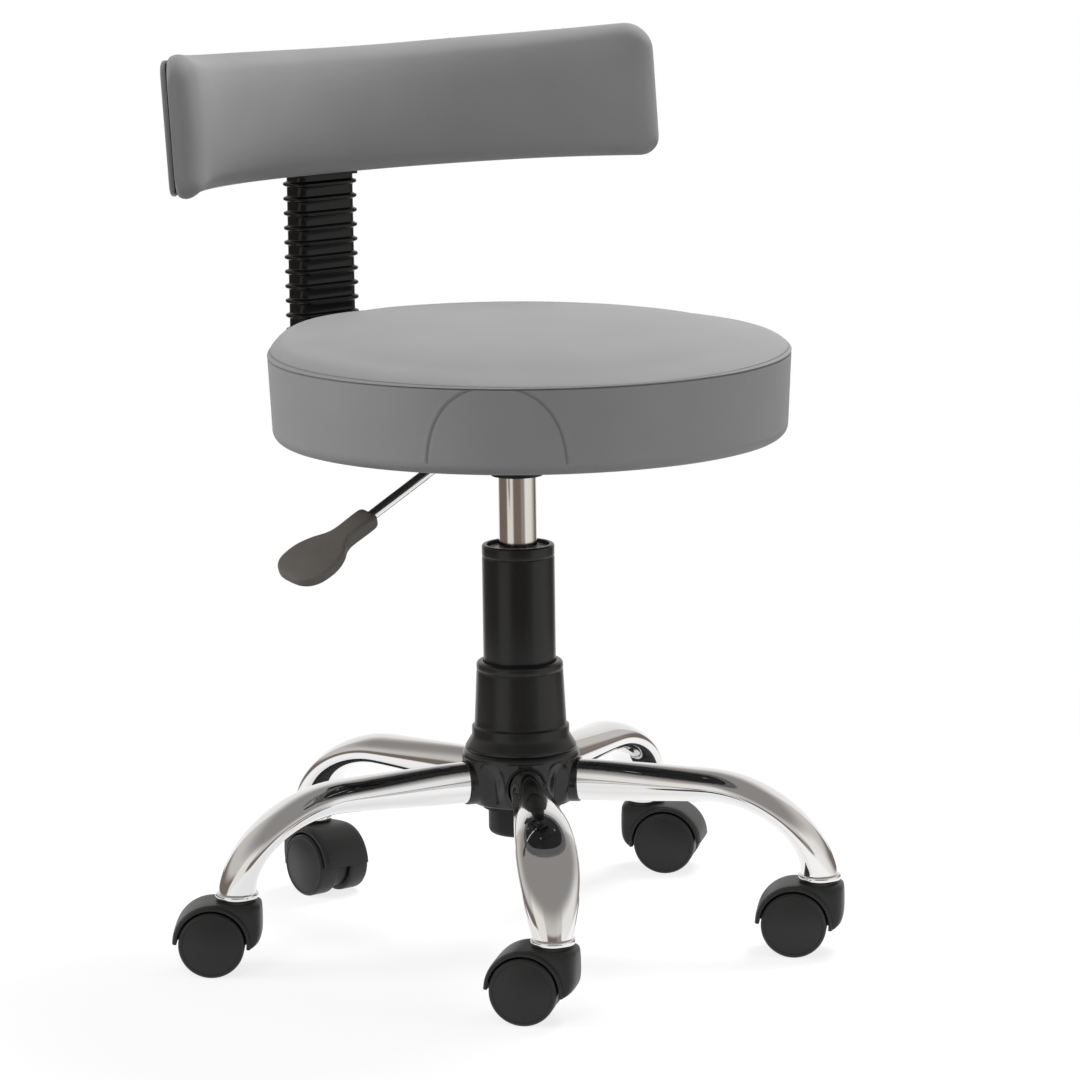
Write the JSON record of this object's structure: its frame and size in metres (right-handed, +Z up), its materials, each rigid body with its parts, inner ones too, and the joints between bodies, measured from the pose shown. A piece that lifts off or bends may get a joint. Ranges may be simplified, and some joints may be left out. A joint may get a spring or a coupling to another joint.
{
  "type": "medical stool",
  "caption": "Round upholstered stool on a gas lift, with a short curved backrest on an adjustable post, a release lever and a star base on twin-wheel casters.",
  "frame": {"origin": "on the floor, on the axis of the column", "axes": "+Z up along the column, -Y towards the open front of the seat, +Y towards the backrest, so the sitter's right is -X, where the release lever is"},
  "size_m": [0.5094, 0.4681, 0.6619],
  "materials": {
    "grey_vinyl": "smooth upholstery vinyl, fine grain, satin",
    "grey_vinyl_pad": "the same vinyl over moulded foam, satin",
    "seat_foam": "open-cell cushion foam",
    "grey_shell": "moulded grey plastic, fine texture",
    "plywood": "plain plywood",
    "chrome_tube": "bright chrome plating",
    "black_steel": "black powder coat, fine texture",
    "zinc_steel": "bright zinc plating",
    "gloss_black": "glossy moulded plastic",
    "satin_black": "satin moulded plastic",
    "caster_nylon": "satin glass-filled nylon",
    "dark_grip": "matt moulded plastic",
    "white_nylon": "natural nylon",
    "black_rubber": "smooth black rubber, slight gloss"
  },
  "bodies": {
    "base": {"hub_tube": "black_steel", "base_arm_1": "chrome_tube", "base_arm_2": "chrome_tube", "base_arm_3": "chrome_tube", "base_arm_4": "chrome_tube", "base_arm_5": "chrome_tube", "caster_stems": "zinc_steel", "hub_cover": "gloss_black", "lower_cover": "satin_black", "upper_cover": "satin_black", "gas_cylinder": "black_steel", "guide_bush": "white_nylon", "thrust_bearing": "zinc_steel"},
    "rod": {"piston_rod": "zinc_steel", "retaining_clip": "zinc_steel", "rubber_buffer": "black_rubber"},
    "seat": {"gas_column": "chrome_tube", "rod_gland": "black_rubber", "mechanism_housing": "black_steel", "seat_plate": "black_steel", "bar_guide": "black_steel", "lever_pin": "zinc_steel", "seat_board": "plywood", "seat_foam": "seat_foam", "seat_cover": "grey_vinyl", "tee_nuts": "zinc_steel", "seat_bolts": "zinc_steel"},
    "lever": {"lever_rod": "chrome_tube", "lever_paddle": "dark_grip"},
    "button": {"release_button": "white_nylon"},
    "depth_clamp": {"depth_knob": "satin_black"},
    "back_post": {"back_bar": "black_steel", "bellows": "black_rubber"},
    "backrest": {"back_bracket": "black_steel", "back_board": "plywood", "back_pad": "grey_vinyl_pad", "back_shell": "grey_shell", "back_screws": "zinc_steel"},
    "height_clamp": {"height_knob": "satin_black"},
    "caster_1": {"caster_hood_1": "caster_nylon", "caster_axle_1": "zinc_steel"},
    "wheel_l_1": {"wheel_left_1": "caster_nylon"},
    "wheel_r_1": {"wheel_right_1": "caster_nylon"},
    "caster_2": {"caster_hood_2": "caster_nylon", "caster_axle_2": "zinc_steel"},
    "wheel_l_2": {"wheel_left_2": "caster_nylon"},
    "wheel_r_2": {"wheel_right_2": "caster_nylon"},
    "caster_3": {"caster_hood_3": "caster_nylon", "caster_axle_3": "zinc_steel"},
    "wheel_l_3": {"wheel_left_3": "caster_nylon"},
    "wheel_r_3": {"wheel_right_3": "caster_nylon"},
    "caster_4": {"caster_hood_4": "caster_nylon", "caster_axle_4": "zinc_steel"},
    "wheel_l_4": {"wheel_left_4": "caster_nylon"},
    "wheel_r_4": {"wheel_right_4": "caster_nylon"},
    "caster_5": {"caster_hood_5": "caster_nylon", "caster_axle_5": "zinc_steel"},
    "wheel_l_5": {"wheel_left_5": "caster_nylon"},
    "wheel_r_5": {"wheel_right_5": "caster_nylon"}
  },
  "joints": [
    {"name": "swivel", "type": "hinge", "parent": "base", "child": "rod", "pos_m": [0, 0, 0.2], "axis": [0, 0, 1], "continuous": true},
    {"name": "lift", "type": "slide", "parent": "rod", "child": "seat", "axis": [0, 0, 1], "range_m": [-0.044, 0.07]},
    {"name": "lever_lift", "type": "hinge", "parent": "seat", "child": "lever", "pos_m": [-0.028, 0, 0.377], "axis": [0, 1, 0], "range_deg": [0, 6], "stiffness_Nm_per_rad": 1.5},
    {"name": "button_press", "type": "slide", "parent": "seat", "child": "button", "axis": [0, 0, -1], "range_m": [0, 0.003], "stiffness_N_per_m": 200},
    {"name": "depth_knob_turn", "type": "hinge", "parent": "seat", "child": "depth_clamp", "pos_m": [0, 0.074, 0.36], "axis": [0, 0, 1], "range_deg": [0, 360]},
    {"name": "back_depth", "type": "slide", "parent": "seat", "child": "back_post", "axis": [0, 1, 0], "range_m": [-0.015, 0.035]},
    {"name": "back_height", "type": "slide", "parent": "back_post", "child": "backrest", "axis": [0, 0, 1], "range_m": [-0.015, 0.035], "deforming": ["bellows"]},
    {"name": "height_knob_turn", "type": "hinge", "parent": "backrest", "child": "height_clamp", "pos_m": [0, 0.25, 0.583], "axis": [0, 1, 0], "range_deg": [0, 360]},
    {"name": "caster_swivel_1", "type": "hinge", "parent": "base", "child": "caster_1", "pos_m": [-0.13166, -0.18122, 0.0435], "axis": [0, 0, 1], "continuous": true},
    {"name": "wheel_spin_left_1", "type": "hinge", "parent": "caster_1", "child": "wheel_l_1", "pos_m": [-0.14245, -0.16681, 0.024], "axis": [-0.8007, -0.599, 0], "continuous": true},
    {"name": "wheel_spin_right_1", "type": "hinge", "parent": "caster_1", "child": "wheel_r_1", "pos_m": [-0.14245, -0.16681, 0.024], "axis": [-0.8007, -0.599, 0], "continuous": true},
    {"name": "caster_swivel_2", "type": "hinge", "parent": "base", "child": "caster_2", "pos_m": [0.12687, -0.1846, 0.0435], "axis": [0, 0, 1], "continuous": true},
    {"name": "wheel_spin_left_2", "type": "hinge", "parent": "caster_2", "child": "wheel_l_2", "pos_m": [0.11485, -0.17121, 0.024], "axis": [-0.7443, -0.6678, 0], "continuous": true},
    {"name": "wheel_spin_right_2", "type": "hinge", "parent": "caster_2", "child": "wheel_r_2", "pos_m": [0.11485, -0.17121, 0.024], "axis": [-0.7443, -0.6678, 0], "continuous": true},
    {"name": "caster_swivel_3", "type": "hinge", "parent": "base", "child": "caster_3", "pos_m": [0.20619, 0.08752, 0.0435], "axis": [0, 0, 1], "continuous": true},
    {"name": "wheel_spin_left_3", "type": "hinge", "parent": "caster_3", "child": "wheel_l_3", "pos_m": [0.21703, 0.07315, 0.024], "axis": [0.7986, 0.6018, 0], "continuous": true},
    {"name": "wheel_spin_right_3", "type": "hinge", "parent": "caster_3", "child": "wheel_r_3", "pos_m": [0.21703, 0.07315, 0.024], "axis": [0.7986, 0.6018, 0], "continuous": true},
    {"name": "caster_swivel_4", "type": "hinge", "parent": "base", "child": "caster_4", "pos_m": [-0.02147, 0.22297, 0.0435], "axis": [0, 0, 1], "continuous": true},
    {"name": "wheel_spin_left_4", "type": "hinge", "parent": "caster_4", "child": "wheel_l_4", "pos_m": [-0.02241, 0.20499, 0.024], "axis": [0.9986, -0.0523, 0], "continuous": true},
    {"name": "wheel_spin_right_4", "type": "hinge", "parent": "caster_4", "child": "wheel_r_4", "pos_m": [-0.02241, 0.20499, 0.024], "axis": [0.9986, -0.0523, 0], "continuous": true},
    {"name": "caster_swivel_5", "type": "hinge", "parent": "base", "child": "caster_5", "pos_m": [-0.2118, 0.07293, 0.0435], "axis": [0, 0, 1], "continuous": true},
    {"name": "wheel_spin_left_5", "type": "hinge", "parent": "caster_5", "child": "wheel_l_5", "pos_m": [-0.22528, 0.08485, 0.024], "axis": [-0.6626, -0.749, 0], "continuous": true},
    {"name": "wheel_spin_right_5", "type": "hinge", "parent": "caster_5", "child": "wheel_r_5", "pos_m": [-0.22528, 0.08485, 0.024], "axis": [-0.6626, -0.749, 0], "continuous": true}
  ],
  "couplings": [
    {"joint": "button_press", "follows": "lever_lift", "m_per_rad": 0.028}
  ]
}
